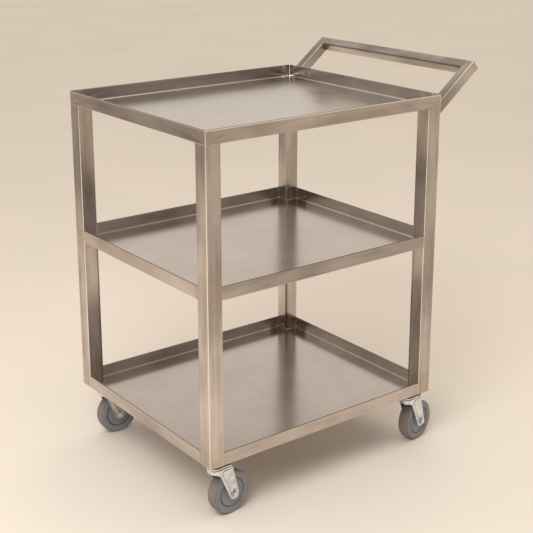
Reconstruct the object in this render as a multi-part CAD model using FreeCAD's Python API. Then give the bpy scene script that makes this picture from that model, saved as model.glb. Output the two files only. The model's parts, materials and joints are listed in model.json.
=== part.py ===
import FreeCAD, Part
import math
import os
from FreeCAD import Vector

# Serving trolley: three folded steel trays on four square-tube legs, a push handle at one end
# and four swivel castors. Millimetres, +Z up. X runs along the trays towards the handle end,
# Y across them, and the front is the long side at -Y. The origin is on the floor, under the
# middle of the overall length and width.

# Trays and legs
deck_length = 670.0
deck_width = 572.0
frame_height = 758.0  # from the lower edge of the bottom tray to the top rim
middle_rim_height = 418.0  # from the lower edge of the bottom tray to the middle rim
tray_wall_height = 32.0
tray_sheet = 1.5
tray_inner_bend = 0.6
leg_side = 38.0
leg_wall = 1.5
leg_corner_radius = 1.6
leg_inner_radius = 0.6

# Hat channel that stiffens each tray from below
channel_crown_width = 40.0
channel_flange = 12.0
channel_depth = 15.0
channel_sheet = 1.2
channel_end_gap = 60.0  # from the tray's end wall to the end of the channel

# Push handle, a U of square tube that slopes up and away from the end wall
handle_side = 25.0
handle_wall = 1.5
handle_corner_radius = 1.6
handle_inner_radius = 0.6
handle_tilt_deg = 38.0
handle_arm_length = 142.0  # along the upper face, from the end wall to the outer corner
handle_drop = 20.0  # from the top rim down to where the upper face meets the end wall
handle_inset = 4.0  # from the tray's long face to the outer side of an arm

# Wheel
wheel_diameter = 102.0
wheel_width = 30.0
tyre_depth = 17.5
tyre_shoulder = 4.5
tyre_groove = 1.5
core_dish_depth = 1.0
core_dish_margin = 3.0
hub_radius = 13.0
hub_gap = 0.8  # from the hub's end to the inside of the fork
bush_wall = 2.0

# Axle, sleeve and nut
axle_radius = 4.0
axle_fit = 0.1
sleeve_wall = 2.0
running_fit = 0.08
axle_flange_radius = 8.5
axle_flange_thickness = 1.5
axle_hex_across = 13.0
axle_hex_height = 5.2
axle_nut_height = 5.4
axle_tip = 1.6

# Fork
fork_sheet = 2.5
fork_side_gap = 3.0  # from the tyre's side to the inside of the fork
fork_trail = 33.0
fork_end_radius = 13.5
fork_front_reach = 7.0  # how far the leg starts in front of the swivel axis
fork_roof_gap = 15.5  # from the tyre's top to the underside of the fork's rear end
fork_rear_setback = 3.0  # from the axle forward to the rear end of the roof
fork_roof_drop = 3.5  # from the crown down to the rear end of the roof
fork_slope_run = 9.0
fork_bend_radius = 3.0
crown_overhang = 1.5
crown_skirt = 12.0
crown_web = 3.0

# Swivel race and kingpin
ball_radius = 2.8
ball_pitch = 6.8
ball_seat_gap = 0.05
ball_race_gap = 0.3
race_gap = 5.0  # from the crown to the top plate
race_setback = 7.5
race_skirt_sheet = 2.5
race_skirt_setback = 1.5
race_skirt_gap = 1.0
kingpin_radius = 5.0
kingpin_head_radius = 8.0
kingpin_top_head = 2.2
kingpin_low_head = 3.2
kingpin_end_gap = 0.3

# Top plate, pad and plate screws
plate_thickness = 3.5
plate_margin = 6.5
plate_corner_radius = 8.0
plate_end_setback = 15.0  # from the trolley's end to the plate's edge
plate_side_setback = 7.0  # from the trolley's long side to the plate's edge
pad_thickness = 8.0
pad_margin = 5.0
pad_corner_radius = 5.0
pad_hole_gap = 1.5
screw_radius = 3.0
screw_hole_gap = 0.3
thread_gap = 0.05
screw_head_across = 10.0
screw_head_height = 3.6
screw_head_gap = 1.2
screw_end_gap = 0.5

# How far each castor is turned at rest, anticlockwise from above; at 0 it trails towards +X
castor_rest_degs = {"front_left": 6.0, "front_right": 10.0, "back_left": -2.0, "back_right": 7.0}
corner_signs = {
    "front_left": (-1, -1),
    "front_right": (1, -1),
    "back_left": (-1, 1),
    "back_right": (1, 1),
}

# Cutting tools run this far past what they cut, and places this near count as the same
overrun = 1.0
nearness = 1e-6

# Castor sizes that follow, heights above the floor
wheel_radius = wheel_diameter / 2
fork_inside = wheel_width / 2 + fork_side_gap
fork_outside = fork_inside + fork_sheet
crown_radius = fork_outside + crown_overhang
fork_rear_top = wheel_diameter + fork_roof_gap + fork_sheet
crown_top = fork_rear_top + fork_roof_drop
fork_rear_x = fork_trail - fork_rear_setback
race_radius = crown_radius - race_setback
race_middle = crown_top + race_gap / 2
race_skirt_radius = crown_radius - race_skirt_setback
plate_bottom = crown_top + race_gap
plate_top = plate_bottom + plate_thickness
frame_bottom = plate_top + pad_thickness
screw_head_radius = screw_head_across / math.sqrt(3)
screw_circle = race_skirt_radius + screw_head_radius + screw_head_gap
screw_offset = screw_circle / math.sqrt(2)
plate_side = 2 * (screw_offset + plate_margin)
pad_side = 2 * (screw_offset + pad_margin)
castor_end_inset = plate_side / 2 + plate_end_setback
castor_side_inset = plate_side / 2 + plate_side_setback
sleeve_radius = axle_radius + axle_fit + sleeve_wall
bush_bore = sleeve_radius + running_fit
bush_radius = bush_bore + bush_wall
hub_half = fork_inside - hub_gap
core_radius = wheel_radius - tyre_depth
core_half = wheel_width / 2 - tyre_groove

# Frame places that follow
handle_tilt = math.radians(handle_tilt_deg)
handle_sharp_reach = handle_arm_length * math.cos(handle_tilt) + handle_side * math.sin(handle_tilt)
handle_rounding = handle_corner_radius * (math.cos(handle_tilt) + math.sin(handle_tilt) - 1)
handle_reach = handle_sharp_reach - handle_rounding
frame_mid_x = -handle_reach / 2
tail_x = frame_mid_x - deck_length / 2
end_x = frame_mid_x + deck_length / 2
half_width = deck_width / 2
rim_z = frame_bottom + frame_height
tray_outer_bend = tray_inner_bend + tray_sheet
top_foot = rim_z - tray_wall_height
middle_foot = frame_bottom + middle_rim_height - tray_wall_height
bottom_foot = frame_bottom


def block(x0, x1, y0, y1, z0, z1):
    """A box between two corners."""
    return Part.makeBox(x1 - x0, y1 - y0, z1 - z0, Vector(x0, y0, z0))


def disc(radius, z0, z1):
    """A round slab about the Z axis."""
    return Part.makeCylinder(radius, z1 - z0, Vector(0, 0, z0))


def cross_disc(radius, y0, y1):
    """A round slab about the axle, which lies along Y before the castor is turned."""
    return Part.makeCylinder(radius, y1 - y0, Vector(fork_trail, y0, wheel_radius), Vector(0, 1, 0))


def edges_along(shape, direction):
    """The straight edges that run along one direction."""
    found = []
    for edge in shape.Edges:
        if isinstance(edge.Curve, Part.Line) and abs(edge.Curve.Direction.dot(direction)) > 1 - nearness:
            found.append(edge)
    return found


def edges_at_height(shape, z):
    """The edges that lie at one height."""
    found = []
    for edge in shape.Edges:
        if edge.BoundBox.ZMax - z < nearness and z - edge.BoundBox.ZMin < nearness:
            found.append(edge)
    return found


def tray_pan(foot):
    """A tray folded up from one sheet, its floor at the foot of its walls."""
    outer = block(tail_x, end_x, -half_width, half_width, foot, foot + tray_wall_height)
    outer_bends = edges_along(outer, Vector(0, 0, 1)) + edges_at_height(outer, foot)
    outer = outer.makeFillet(tray_outer_bend, outer_bends)
    inside = block(
        tail_x + tray_sheet,
        end_x - tray_sheet,
        tray_sheet - half_width,
        half_width - tray_sheet,
        foot + tray_sheet,
        foot + tray_wall_height + overrun,
    )
    bends = edges_along(inside, Vector(0, 0, 1)) + edges_at_height(inside, foot + tray_sheet)
    return outer.cut(inside.makeFillet(tray_inner_bend, bends))


def leg_footprint(corner, z0, z1):
    """The square block that one leg fills between two heights."""
    side_x, side_y = corner_signs[corner]
    outer_x = frame_mid_x + side_x * deck_length / 2
    outer_y = side_y * half_width
    inner_x = outer_x - side_x * leg_side
    inner_y = outer_y - side_y * leg_side
    xs = sorted([outer_x, inner_x])
    ys = sorted([outer_y, inner_y])
    return block(xs[0], xs[1], ys[0], ys[1], z0, z1)


def notched_tray(foot):
    """A tray whose corners are cut out round the legs, so its walls butt between them."""
    tray = tray_pan(foot)
    for corner in corner_signs:
        tray = tray.cut(leg_footprint(corner, foot - overrun, foot + tray_wall_height + overrun))
    return tray


def leg(corner):
    """A square tube from the lower edge of the frame to the underside of the top tray."""
    solid = leg_footprint(corner, frame_bottom, top_foot)
    solid = solid.makeFillet(leg_corner_radius, edges_along(solid, Vector(0, 0, 1)))
    bounds = solid.BoundBox
    bore = block(
        bounds.XMin + leg_wall,
        bounds.XMax - leg_wall,
        bounds.YMin + leg_wall,
        bounds.YMax - leg_wall,
        frame_bottom - overrun,
        top_foot + overrun,
    )
    return solid.cut(bore.makeFillet(leg_inner_radius, edges_along(bore, Vector(0, 0, 1))))


def tray_channel(foot):
    """A hat-section channel welded along the middle of a tray's underside."""
    x0 = tail_x + channel_end_gap
    x1 = end_x - channel_end_gap
    crown = channel_crown_width / 2
    flange = crown + channel_flange
    inner = crown - channel_sheet
    low = foot - channel_depth
    hat = block(x0, x1, -crown, crown, low, foot)
    hat = hat.fuse(block(x0, x1, -flange, flange, foot - channel_sheet, foot))
    hollow = block(x0 - overrun, x1 + overrun, -inner, inner, low + channel_sheet, foot + overrun)
    return hat.cut(hollow).removeSplitter()


def square_tube(x0, x1, y0, y1, z0, z1, along):
    """A handle tube with rounded edges and a bore that runs out of both ends."""
    outer = block(x0, x1, y0, y1, z0, z1)
    outer = outer.makeFillet(handle_corner_radius, edges_along(outer, along))
    grow = handle_wall + overrun
    bore = block(
        x0 + handle_wall - grow * along.x,
        x1 - handle_wall + grow * along.x,
        y0 + handle_wall - grow * along.y,
        y1 - handle_wall + grow * along.y,
        z0 + handle_wall,
        z1 - handle_wall,
    )
    return outer.cut(bore.makeFillet(handle_inner_radius, edges_along(bore, along)))


def mitre_half(side, for_bar):
    """One half of a handle corner: the triangle that belongs to the bar or to the arm."""
    outer_y = side * (half_width - handle_inset)
    inner_y = outer_y - side * handle_side
    inner_x = handle_arm_length - handle_side
    if for_bar:
        square = Vector(handle_arm_length, inner_y, 0)
    else:
        square = Vector(inner_x, outer_y, 0)
    points = [Vector(inner_x, inner_y, 0), Vector(handle_arm_length, outer_y, 0), square]
    wire = Part.makePolygon(points + points[:1])
    wire.translate(Vector(0, 0, -handle_side - overrun))
    return Part.Face(wire).extrude(Vector(0, 0, handle_side + 2 * overrun))


def tilt_handle(piece):
    """Turn a piece drawn in the handle's own plane up to its slope on the end wall."""
    piece.rotate(Vector(0, 0, 0), Vector(0, 1, 0), -handle_tilt_deg)
    piece.translate(Vector(end_x, 0, rim_z - handle_drop))
    return piece


def handle_arm(side):
    """One arm, mitred at the bar and cut off square with the end wall."""
    ys = sorted([side * (half_width - handle_inset), side * (half_width - handle_inset - handle_side)])
    start = -handle_side / math.cos(handle_tilt)
    arm = square_tube(start, handle_arm_length, ys[0], ys[1], -handle_side, 0, Vector(1, 0, 0))
    arm = tilt_handle(arm.cut(mitre_half(side, True)))
    wall_side = block(
        end_x - 2 * leg_side,
        end_x,
        -half_width,
        half_width,
        rim_z - handle_drop - 3 * handle_side,
        rim_z + handle_side,
    )
    return arm.cut(wall_side)


def handle_bar():
    """The cross bar that the hands push, mitred at both ends."""
    reach = half_width - handle_inset
    bar = square_tube(
        handle_arm_length - handle_side, handle_arm_length, -reach, reach, -handle_side, 0, Vector(0, 1, 0)
    )
    for side in (-1, 1):
        bar = bar.cut(mitre_half(side, False))
    return tilt_handle(bar)


def castor_centre(corner):
    """Where a castor's swivel axis stands on the floor."""
    side_x, side_y = corner_signs[corner]
    x = frame_mid_x + side_x * (deck_length / 2 - castor_end_inset)
    y = side_y * (half_width - castor_side_inset)
    return Vector(x, y, 0)


def at_corner(piece, corner):
    """Move a piece that is square with the frame to its corner."""
    piece.translate(castor_centre(corner))
    return piece


def turned_at_corner(piece, corner):
    """Move a piece that swivels to its corner, turned as the castor rests."""
    piece.rotate(Vector(0, 0, 0), Vector(0, 0, 1), castor_rest_degs[corner])
    return at_corner(piece, corner)


def rounded_square(side, corner_radius, z0, z1):
    """A square plate with round corners about the Z axis."""
    plate = block(-side / 2, side / 2, -side / 2, side / 2, z0, z1)
    return plate.makeFillet(corner_radius, edges_along(plate, Vector(0, 0, 1)))


def hexagon(across, z0, z1):
    """A hexagonal slab about the Z axis, measured across its flats."""
    radius = across / math.sqrt(3)
    points = [Vector(radius, 0, z0)]
    for step in range(1, 6):
        angle = math.radians(60 * step)
        points.append(Vector(radius * math.cos(angle), radius * math.sin(angle), z0))
    return Part.Face(Part.makePolygon(points + points[:1])).extrude(Vector(0, 0, z1 - z0))


def screw_places():
    """The four screw axes of a castor plate."""
    return [Vector(i * screw_offset, j * screw_offset, 0) for i in (-1, 1) for j in (-1, 1)]


def screw_holes(radius, z0, z1):
    """Four round cutters on the screw axes."""
    holes = []
    for place in screw_places():
        hole = disc(radius, z0, z1)
        hole.translate(place)
        holes.append(hole)
    return holes


def castor_pad():
    """The thick pad welded under a corner, tapped for the plate screws."""
    pad = rounded_square(pad_side, pad_corner_radius, plate_top, frame_bottom)
    tools = screw_holes(screw_radius + thread_gap, plate_top - overrun, frame_bottom + overrun)
    tools.append(disc(kingpin_head_radius + pad_hole_gap, plate_top - overrun, frame_bottom + overrun))
    return pad.cut(tools)


def castor_plate():
    """The castor's top plate, with the ring round the ball race and the upper groove."""
    plate = rounded_square(plate_side, plate_corner_radius, plate_bottom, plate_top)
    skirt_foot = crown_top + race_skirt_gap
    ring = disc(race_skirt_radius, skirt_foot, plate_bottom + overrun)
    bore = disc(race_skirt_radius - race_skirt_sheet, skirt_foot - overrun, plate_bottom + 2 * overrun)
    plate = plate.fuse(ring.cut(bore)).removeSplitter()
    tools = screw_holes(screw_radius + screw_hole_gap, plate_bottom - overrun, plate_top + overrun)
    tools.append(disc(kingpin_radius + running_fit, plate_bottom - overrun, plate_top + overrun))
    tools.append(Part.makeTorus(race_radius, ball_radius + ball_race_gap, Vector(0, 0, race_middle)))
    return plate.cut(tools)


def plate_screws():
    """The hexagon screws of all four castor plates, in one group."""
    screws = []
    head_foot = plate_bottom - screw_head_height
    for corner in corner_signs:
        for place in screw_places():
            screw = hexagon(screw_head_across, head_foot, plate_bottom)
            screw = screw.fuse(disc(screw_radius, plate_bottom - overrun, frame_bottom - screw_end_gap))
            screw = screw.removeSplitter()
            screw.translate(place)
            screws.append(at_corner(screw, corner))
    return Part.makeCompound(screws)


def kingpin():
    """The rivet that the fork turns on, headed over the plate and under the crown."""
    low = crown_top - crown_web - kingpin_end_gap
    pin = disc(kingpin_radius, low - kingpin_low_head / 2, plate_top + kingpin_top_head / 2)
    low_head = disc(kingpin_head_radius, low - kingpin_low_head, low)
    low_head = low_head.makeFillet(kingpin_low_head / 2, edges_at_height(low_head, low - kingpin_low_head))
    top_head = disc(kingpin_head_radius, plate_top, plate_top + kingpin_top_head)
    return pin.fuse([low_head, top_head]).removeSplitter()


def race_balls():
    """The ring of steel balls between crown and plate, as one group."""
    count = int(2 * math.pi * race_radius / ball_pitch)
    balls = []
    for step in range(count):
        angle = 2 * math.pi * step / count
        centre = Vector(race_radius * math.cos(angle), race_radius * math.sin(angle), race_middle)
        balls.append(Part.makeSphere(ball_radius, centre))
    return Part.makeCompound(balls)


def tangent_angle(point, turn):
    """The angle at which a line from a point in the side view touches the leg's round end."""
    dx = point[0] - fork_trail
    dz = point[1] - wheel_radius
    return math.atan2(dz, dx) + turn * math.acos(fork_end_radius / math.hypot(dx, dz))


def on_fork_end(angle):
    """A point on the round end of the fork's leg."""
    x = fork_trail + fork_end_radius * math.cos(angle)
    return Vector(x, 0, wheel_radius + fork_end_radius * math.sin(angle))


def fork_side_view():
    """The outline of a fork leg: straight edges that run tangent into a round end."""
    front_foot = (-fork_front_reach, crown_top - crown_skirt)
    rear_top = (fork_rear_x, fork_rear_top)
    front_angle = tangent_angle(front_foot, 1)
    rear_angle = tangent_angle(rear_top, -1) + 2 * math.pi
    start = on_fork_end(front_angle)
    finish = on_fork_end(rear_angle)
    corners = [
        finish,
        Vector(rear_top[0], 0, rear_top[1]),
        Vector(fork_rear_x - fork_slope_run, 0, crown_top),
        Vector(-fork_front_reach, 0, crown_top),
        Vector(front_foot[0], 0, front_foot[1]),
        start,
    ]
    edges = [Part.makeLine(a, b) for a, b in zip(corners, corners[1:])]
    edges.append(Part.Arc(start, on_fork_end((front_angle + rear_angle) / 2), finish).toShape())
    return Part.Face(Part.Wire(Part.__sortEdges__(edges)))


def fork_channel():
    """The room between the fork's legs, under its roof."""
    drop = crown_top - crown_web
    slope_start = fork_rear_x - fork_slope_run
    points = [
        Vector(-fork_front_reach, -fork_inside, 0),
        Vector(-fork_front_reach, -fork_inside, drop),
        Vector(slope_start - crown_web / 2, -fork_inside, drop),
        Vector(fork_rear_x, -fork_inside, fork_rear_top - fork_sheet),
        Vector(fork_trail + wheel_radius, -fork_inside, fork_rear_top - fork_sheet),
        Vector(fork_trail + wheel_radius, -fork_inside, 0),
    ]
    return Part.Face(Part.makePolygon(points + points[:1])).extrude(Vector(0, 2 * fork_inside, 0))


def fork():
    """The pressed fork: a round crown with a skirt, and two legs that trail back to the axle."""
    crown = disc(crown_radius, crown_top - crown_skirt, crown_top)
    crown = crown.makeFillet(fork_bend_radius, edges_at_height(crown, crown_top))
    legs = fork_side_view().extrude(Vector(0, 2 * fork_outside, 0))
    legs.translate(Vector(0, -fork_outside, 0))
    roof_edges = []
    for edge in legs.Edges:
        middle = edge.CenterOfMass
        on_side = abs(abs(middle.y) - fork_outside) < nearness
        if on_side and middle.z > fork_rear_top and edge.BoundBox.ZMin > fork_rear_top - nearness:
            roof_edges.append(edge)
    legs = legs.makeFillet(fork_bend_radius, roof_edges)
    cup = disc(crown_radius - fork_sheet, crown_top - crown_skirt - overrun, crown_top - crown_web)
    body = crown.cut(cup).fuse(legs).removeSplitter()
    groove = Part.makeTorus(race_radius, ball_radius + ball_seat_gap, Vector(0, 0, race_middle))
    pin_hole = disc(kingpin_radius + running_fit, 0, crown_top + overrun)
    axle_hole = cross_disc(axle_radius + axle_fit, -fork_outside - overrun, fork_outside + overrun)
    return body.cut([fork_channel(), groove, pin_hole, axle_hole])


def across_axle(piece, y):
    """Lay a piece drawn about the Z axis along the axle, with its foot at one place along Y."""
    piece.rotate(Vector(0, 0, 0), Vector(1, 0, 0), -90)
    piece.translate(Vector(fork_trail, y, wheel_radius))
    return piece


def axle_bolt():
    """The flanged axle bolt, its head on the back side of the fork and its tip past the nut."""
    tip = fork_outside + axle_flange_thickness + axle_nut_height + axle_tip
    shank = disc(axle_radius, -tip, fork_outside + axle_flange_thickness)
    flange = disc(axle_flange_radius, fork_outside, fork_outside + axle_flange_thickness)
    head_foot = fork_outside + axle_flange_thickness
    head = hexagon(axle_hex_across, head_foot, head_foot + axle_hex_height)
    return across_axle(shank.fuse([flange, head]).removeSplitter(), 0)


def axle_nut():
    """The flanged nut on the front side of the fork."""
    seat = -fork_outside - axle_flange_thickness
    flange = disc(axle_flange_radius, seat, -fork_outside)
    nut = flange.fuse(hexagon(axle_hex_across, seat - axle_nut_height, seat)).removeSplitter()
    bore = disc(axle_radius + thread_gap, seat - axle_nut_height - overrun, overrun - fork_outside)
    return across_axle(nut.cut(bore), 0)


def axle_sleeve():
    """The steel sleeve that the axle bolt clamps between the fork's legs."""
    bore = cross_disc(axle_radius + axle_fit, -fork_inside - overrun, fork_inside + overrun)
    return cross_disc(sleeve_radius, -fork_inside, fork_inside).cut(bore)


def wheel_bush():
    """The plain bush that is pressed into the wheel and runs on the sleeve."""
    bore = cross_disc(bush_bore, -hub_half - overrun, hub_half + overrun)
    return cross_disc(bush_radius, -hub_half, hub_half).cut(bore)


def wheel_core():
    """The moulded centre: a disc with a shallow dish in each face and a raised hub."""
    core = cross_disc(core_radius, -core_half, core_half)
    dish_radius = core_radius - core_dish_margin
    for side in (-1, 1):
        ys = sorted([side * (core_half - core_dish_depth), side * (core_half + overrun)])
        core = core.cut(cross_disc(dish_radius, ys[0], ys[1]))
    core = core.fuse(cross_disc(hub_radius, -hub_half, hub_half)).removeSplitter()
    return core.cut(cross_disc(bush_radius, -hub_half - overrun, hub_half + overrun))


def tyre():
    """The solid tyre round the core, with round shoulders and a groove where the two meet."""
    half = wheel_width / 2
    solid = cross_disc(wheel_radius, -half, half)
    rims = [edge for edge in solid.Edges if isinstance(edge.Curve, Part.Circle)]
    solid = solid.makeFillet(tyre_shoulder, rims)
    ring = solid.cut(cross_disc(core_radius, -half - overrun, half + overrun))
    inner_rims = []
    for edge in ring.Edges:
        if isinstance(edge.Curve, Part.Circle) and abs(edge.Curve.Radius - core_radius) < nearness:
            inner_rims.append(edge)
    return ring.makeChamfer(tyre_groove, inner_rims)


def all_parts():
    """Every node of the trolley by name."""
    parts = {
        "top_tray": tray_pan(top_foot),
        "middle_tray": notched_tray(middle_foot),
        "bottom_tray": notched_tray(bottom_foot),
        "top_tray_channel": tray_channel(top_foot),
        "middle_tray_channel": tray_channel(middle_foot),
        "bottom_tray_channel": tray_channel(bottom_foot),
        "handle_arm_front": handle_arm(-1),
        "handle_arm_back": handle_arm(1),
        "handle_bar": handle_bar(),
        "castor_plate_screws": plate_screws(),
    }
    for corner in corner_signs:
        parts["leg_" + corner] = leg(corner)
        parts["castor_pad_" + corner] = at_corner(castor_pad(), corner)
        parts["castor_plate_" + corner] = at_corner(castor_plate(), corner)
        parts["kingpin_" + corner] = at_corner(kingpin(), corner)
        parts["race_balls_" + corner] = turned_at_corner(race_balls(), corner)
        parts["fork_" + corner] = turned_at_corner(fork(), corner)
        parts["axle_bolt_" + corner] = turned_at_corner(axle_bolt(), corner)
        parts["axle_nut_" + corner] = turned_at_corner(axle_nut(), corner)
        parts["axle_sleeve_" + corner] = turned_at_corner(axle_sleeve(), corner)
        parts["wheel_bush_" + corner] = turned_at_corner(wheel_bush(), corner)
        parts["wheel_core_" + corner] = turned_at_corner(wheel_core(), corner)
        parts["tyre_" + corner] = turned_at_corner(tyre(), corner)
    return parts


os.makedirs("parts", exist_ok=True)
parts = all_parts()
for name, shape in parts.items():
    shape.exportStep("parts/" + name + ".step")
print("nodes", len(parts), "rim height", round(rim_z, 2), "castor height", round(plate_top, 2))
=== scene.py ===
# %% [markdown]
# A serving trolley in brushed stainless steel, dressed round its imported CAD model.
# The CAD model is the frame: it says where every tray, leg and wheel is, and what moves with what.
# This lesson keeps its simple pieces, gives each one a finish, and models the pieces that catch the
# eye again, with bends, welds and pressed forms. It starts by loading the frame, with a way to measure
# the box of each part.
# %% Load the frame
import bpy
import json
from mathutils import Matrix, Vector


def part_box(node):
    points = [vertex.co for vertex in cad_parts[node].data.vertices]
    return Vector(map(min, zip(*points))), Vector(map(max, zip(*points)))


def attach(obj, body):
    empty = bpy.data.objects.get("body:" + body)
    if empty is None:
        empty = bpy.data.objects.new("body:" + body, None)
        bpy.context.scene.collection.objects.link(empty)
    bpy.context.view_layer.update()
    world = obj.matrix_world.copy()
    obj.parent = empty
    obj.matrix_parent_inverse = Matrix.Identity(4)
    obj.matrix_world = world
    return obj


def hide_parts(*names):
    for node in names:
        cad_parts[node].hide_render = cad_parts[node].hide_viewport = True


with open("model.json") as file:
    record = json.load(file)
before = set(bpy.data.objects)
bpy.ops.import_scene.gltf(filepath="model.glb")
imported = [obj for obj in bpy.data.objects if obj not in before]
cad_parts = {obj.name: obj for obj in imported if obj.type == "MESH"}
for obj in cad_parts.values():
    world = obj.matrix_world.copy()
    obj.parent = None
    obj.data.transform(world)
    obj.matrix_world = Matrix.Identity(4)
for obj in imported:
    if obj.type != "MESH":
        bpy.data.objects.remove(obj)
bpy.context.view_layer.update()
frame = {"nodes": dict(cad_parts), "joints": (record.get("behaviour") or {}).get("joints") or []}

# %% [markdown]
# The frame is measured in metres, and whoever folds sheet thinks in millimetres, so one name turns the
# one into the other. The corners and the joints are looked up again and again: they get names here, as
# does the small step that puts a new object into the scene.
# %% Tools that every cell uses
import json
import math

import bmesh
import bpy
from mathutils import Matrix, Vector, noise

mm = 0.001
hair = 0.05 * mm  # how far a vertex may lie from the line it is looked up by
corners = ("front_left", "front_right", "back_left", "back_right")
joints = {joint["name"]: joint for joint in frame["joints"]}


def put_in_scene(name, data):
    """Make an object and link it to the scene."""
    made = bpy.data.objects.new(name, data)
    bpy.context.scene.collection.objects.link(made)
    return made


# %% [markdown]
# The camera stands in front of one corner at about head height and looks a little down. A long lens
# keeps the legs nearly upright. The lens axis falls above the middle of the picture, so the picture
# is shifted down by the same share. Copying these four facts is what makes a render comparable.
# %% Place the camera
picture_side_px = 533
lens_axis_row_px = 202.5
camera_heading = math.radians(37.31)  # from +Y towards +X
camera_tilt = math.radians(-15.75)

camera = put_in_scene("camera", bpy.data.cameras.new("camera"))
camera.location = (-1.646, -2.1263, 1.3746)
camera.rotation_euler = (math.pi / 2 + camera_tilt, 0, -camera_heading)
camera.data.lens = 76.5
camera.data.shift_y = (lens_axis_row_px - picture_side_px / 2) / picture_side_px
bpy.context.scene.camera = camera
bpy.context.scene.view_settings.view_transform = "Standard"
print("camera shift", round(camera.data.shift_y, 3))

# %% [markdown]
# Finishes are built from shader nodes. Written out node by node they are long and hard to read, so a
# small class wraps one output of a node and lets it add and multiply like a number, and a finish then
# reads from top to bottom like a recipe. Object coordinates are used throughout, because they stay
# put when a castor turns.
# %% A small kit for finishes
class Dial:
    """A value inside a finish. Sums and products of dials become Math nodes."""

    def __init__(self, socket):
        self.socket = socket
        self.tree = socket.id_data

    def calc(self, operation, other):
        return add(self.tree, "ShaderNodeMath", {0: self, 1: other}, operation=operation)

    def __add__(self, other):
        return self.calc("ADD", other)

    def __sub__(self, other):
        return self.calc("SUBTRACT", other)

    def __mul__(self, other):
        return self.calc("MULTIPLY", other)

    __radd__ = __add__
    __rmul__ = __mul__


def feed(socket, value):
    """Fill an input with a dial or with a plain value. A colour gets its alpha here."""
    if isinstance(value, Dial):
        socket.id_data.links.new(value.socket, socket)
    elif hasattr(value, "__len__") and len(value) < len(socket.default_value):
        socket.default_value = (*value, 1.0)
    else:
        socket.default_value = value


def add(tree, kind, inputs=None, output=0, **settings):
    """Add a shader node, fill its inputs and give back one of its outputs."""
    made = tree.nodes.new(kind)
    for name, value in settings.items():
        setattr(made, name, value)
    for name, value in (inputs or {}).items():
        feed(made.inputs[name], value)
    return Dial(made.outputs[output])


def start_finish(name):
    """A new material, its main shader and the piece's own coordinates."""
    material = bpy.data.materials.new(name)
    material.use_nodes = True
    shader = material.node_tree.nodes["Principled BSDF"]
    return material, shader, add(material.node_tree, "ShaderNodeTexCoord", output="Object")


def plug(shader, **inputs):
    """Give a shader its finished values."""
    for name, value in inputs.items():
        feed(shader.inputs[name.replace("_", " ")], value)


def cloud(coords, scale, detail=2.0):
    """Soft noise from 0 to 1. The scale is a number, or a vector that stretches it."""
    scale = scale if hasattr(scale, "__len__") else (scale,) * 3
    stretched = add(coords.tree, "ShaderNodeMapping", {"Vector": coords, "Scale": scale})
    return add(coords.tree, "ShaderNodeTexNoise", {"Vector": stretched, "Scale": 1.0, "Detail": detail})


def ramp(value, *stops):
    """Turn a value into a colour by (position, colour) stops."""
    made = add(value.tree, "ShaderNodeValToRGB", {0: value})
    elements = made.socket.node.color_ramp.elements
    while len(elements) < len(stops):
        elements.new(1.0)
    for element, (position, colour) in zip(elements, stops):
        element.position = position
        element.color = (*colour, 1.0)
    return made


def fade(value, first, last, low=0.0, high=1.0):
    """A smooth step from low to high, between two values."""
    inputs = {0: value, 1: first, 2: last, 3: low, 4: high}
    return add(value.tree, "ShaderNodeMapRange", inputs, interpolation_type="SMOOTHSTEP")


def blend(share, first, second):
    """Mix two colours by a share, which is held between 0 and 1."""
    inputs = {0: share, 6: first, 7: second}
    return add(share.tree, "ShaderNodeMix", inputs, output=2, data_type="RGBA", clamp_factor=True)


def painted(coords, name):
    """A value that the mesh carries on its vertices."""
    return add(coords.tree, "ShaderNodeAttribute", output="Fac", attribute_name=name)


def raised(height, distance):
    """A bump from a height between 0 and 1, its full depth in metres."""
    return add(height.tree, "ShaderNodeBump", {"Height": height, "Strength": 1.0, "Distance": distance})

# %% [markdown]
# The stage is one pale floor that runs on past the picture, a pale sky and two large soft lamps.
# Brushed steel has little colour of its own: it shows a blurred picture of what is round it. An even
# sky would make every face the same grey. Two soft shades painted on the floor, out of the camera's
# view, are what the upper parts of the outer faces mirror, so these faces darken towards the top.
# %% Lay the floor
floor_radius = 14.0
floor_colour = (0.83, 0.755, 0.67)
darker_floor = tuple(0.96 * channel for channel in floor_colour)
shades = (((-2.6, 3.5, 0.0), 2.3, 0.52), ((1.3, -1.8, 0.0), 1.5, 0.34))  # place, reach, depth

floor_mesh = bmesh.new()
bmesh.ops.create_circle(floor_mesh, cap_ends=True, radius=floor_radius, segments=96)
floor_data = bpy.data.meshes.new("floor")
floor_mesh.to_mesh(floor_data)
floor_mesh.free()
put_in_scene("floor", floor_data)

floor_finish, floor_shader, coords = start_finish("floor_pale")
paint_coat = ramp(cloud(coords, 1.3), (0.3, darker_floor), (0.7, floor_colour))
for place, reach, depth in shades:
    gap = add(coords.tree, "ShaderNodeVectorMath", {0: coords, 1: place}, "Value", operation="DISTANCE")
    paint_coat = blend(fade(gap, 0.4 * reach, reach, depth, 0.0), paint_coat, (0.0, 0.0, 0.0))
plug(floor_shader, Base_Color=paint_coat, Roughness=0.8, Specular_IOR_Level=0.15)
floor_data.materials.append(floor_finish)
print("floor across", 2 * floor_radius, "m")

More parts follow.
